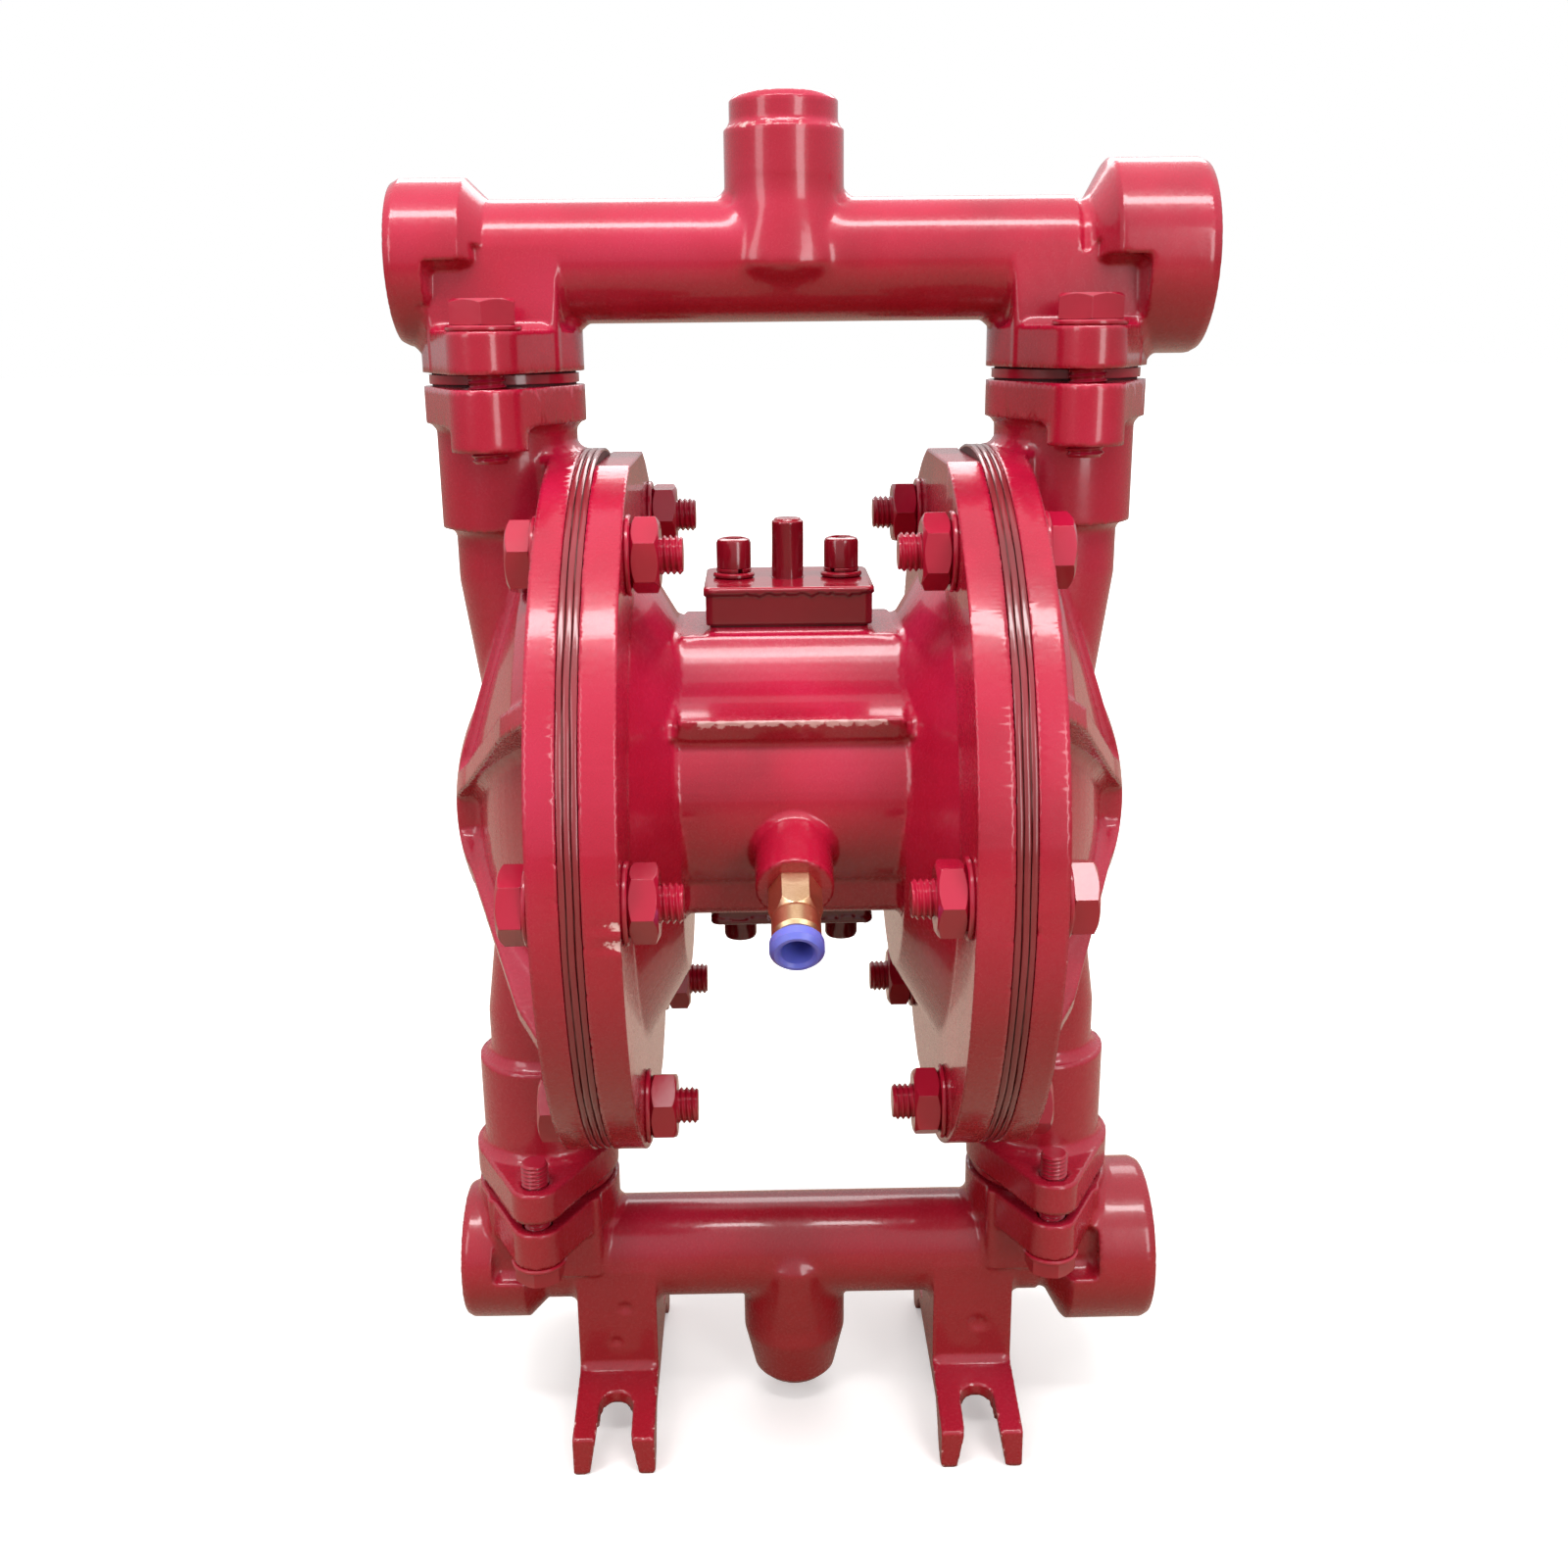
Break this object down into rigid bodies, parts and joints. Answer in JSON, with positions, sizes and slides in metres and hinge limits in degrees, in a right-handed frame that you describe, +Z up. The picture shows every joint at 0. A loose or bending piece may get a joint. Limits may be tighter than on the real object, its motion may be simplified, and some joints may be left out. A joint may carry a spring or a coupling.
{
  "type": "air operated diaphragm pump",
  "caption": "Red cast-iron double diaphragm pump driven by compressed air, with side chambers, top and bottom pipes and slotted feet.",
  "frame": {"origin": "on the standing plane of the feet, midway between the two chambers, on the upright plane of the diaphragm shaft", "axes": "+X along the diaphragm shaft to the wide-port end, +Y away from the air inlet side, +Z up"},
  "size_m": [0.212, 0.2, 0.3888],
  "materials": {
    "enamelled_iron": "gloss crimson enamel on cast iron",
    "painted_steel": "steel, painted over with the same enamel",
    "rubber": "matt brown-red rubber",
    "valve_ball": "ground rubber",
    "bright_steel": "turned",
    "brass": "machined",
    "aluminium": "turned",
    "blue_plastic": "moulded"
  },
  "bodies": {
    "pump": {"centre_body": "enamelled_iron", "outer_cover_left": "enamelled_iron", "outer_cover_right": "enamelled_iron", "discharge_manifold": "enamelled_iron", "inlet_manifold": "enamelled_iron", "diaphragm_left": "rubber", "diaphragm_right": "rubber", "shaft_bush_left": "brass", "shaft_bush_right": "brass", "shaft_seal_left": "rubber", "shaft_seal_right": "rubber", "valve_seats_discharge": "bright_steel", "valve_seats_suction": "bright_steel", "seat_gaskets_discharge": "rubber", "seat_gaskets_suction": "rubber", "chamber_bolts_left": "painted_steel", "chamber_bolts_right": "painted_steel", "chamber_washers_left": "painted_steel", "chamber_washers_right": "painted_steel", "chamber_nuts_left": "painted_steel", "chamber_nuts_right": "painted_steel", "discharge_bolts": "painted_steel", "discharge_washers": "painted_steel", "inlet_bolts": "painted_steel", "inlet_washers": "painted_steel", "valve_cap_top": "enamelled_iron", "valve_cap_bottom": "enamelled_iron", "cap_gasket_top": "rubber", "cap_gasket_bottom": "rubber", "cap_screws_top": "painted_steel", "cap_screws_bottom": "painted_steel", "cap_washers_top": "painted_steel", "cap_washers_bottom": "painted_steel", "valve_sleeve": "brass", "reset_spring": "bright_steel", "pilot_bushes": "brass", "air_fitting_body": "brass"},
    "shaft": {"diaphragm_shaft": "bright_steel", "inner_plate_left": "bright_steel", "inner_plate_right": "bright_steel", "outer_plate_left": "bright_steel", "outer_plate_right": "bright_steel", "shaft_nut_left": "bright_steel", "shaft_nut_right": "bright_steel"},
    "spool": {"valve_spool": "aluminium", "spool_rings": "rubber"},
    "pin": {"reset_pin": "painted_steel"},
    "pilot": {"pilot_rod": "bright_steel"},
    "collet": {"release_collet": "blue_plastic"},
    "discharge_ball_l": {"discharge_ball_left": "valve_ball"},
    "discharge_ball_r": {"discharge_ball_right": "valve_ball"},
    "suction_ball_l": {"suction_ball_left": "valve_ball"},
    "suction_ball_r": {"suction_ball_right": "valve_ball"}
  },
  "joints": [
    {"name": "shaft_slide", "type": "slide", "parent": "pump", "child": "shaft", "axis": [1, 0, 0], "range_m": [-0.008, 0.008], "deforming": ["diaphragm_left", "diaphragm_right"]},
    {"name": "pilot_shift", "type": "slide", "parent": "pump", "child": "pilot", "axis": [1, 0, 0], "range_m": [-0.0032, 0.0032]},
    {"name": "spool_shift", "type": "slide", "parent": "pump", "child": "spool", "axis": [0, 0, 1], "range_m": [0, 0.007]},
    {"name": "reset_press", "type": "slide", "parent": "pump", "child": "pin", "axis": [0, 0, 1], "range_m": [-0.004, 0], "stiffness_N_per_m": 600, "springref_m": 0.002, "deforming": ["reset_spring"]},
    {"name": "collet_press", "type": "slide", "parent": "pump", "child": "collet", "axis": [0, 0.9063, 0.4226], "range_m": [0, 0.0015], "stiffness_N_per_m": 400, "springref_m": -0.001},
    {"name": "discharge_ball_left_lift", "type": "slide", "parent": "pump", "child": "discharge_ball_l", "axis": [0, 0, 1], "range_m": [0, 0.005]},
    {"name": "discharge_ball_right_lift", "type": "slide", "parent": "pump", "child": "discharge_ball_r", "axis": [0, 0, 1], "range_m": [0, 0.005]},
    {"name": "suction_ball_left_lift", "type": "slide", "parent": "pump", "child": "suction_ball_l", "axis": [0, 0, 1], "range_m": [0, 0.005]},
    {"name": "suction_ball_right_lift", "type": "slide", "parent": "pump", "child": "suction_ball_r", "axis": [0, 0, 1], "range_m": [0, 0.005]}
  ],
  "couplings": [
    {"joint": "pilot_shift", "follows": "shaft_slide", "ratio": 0.4}
  ]
}
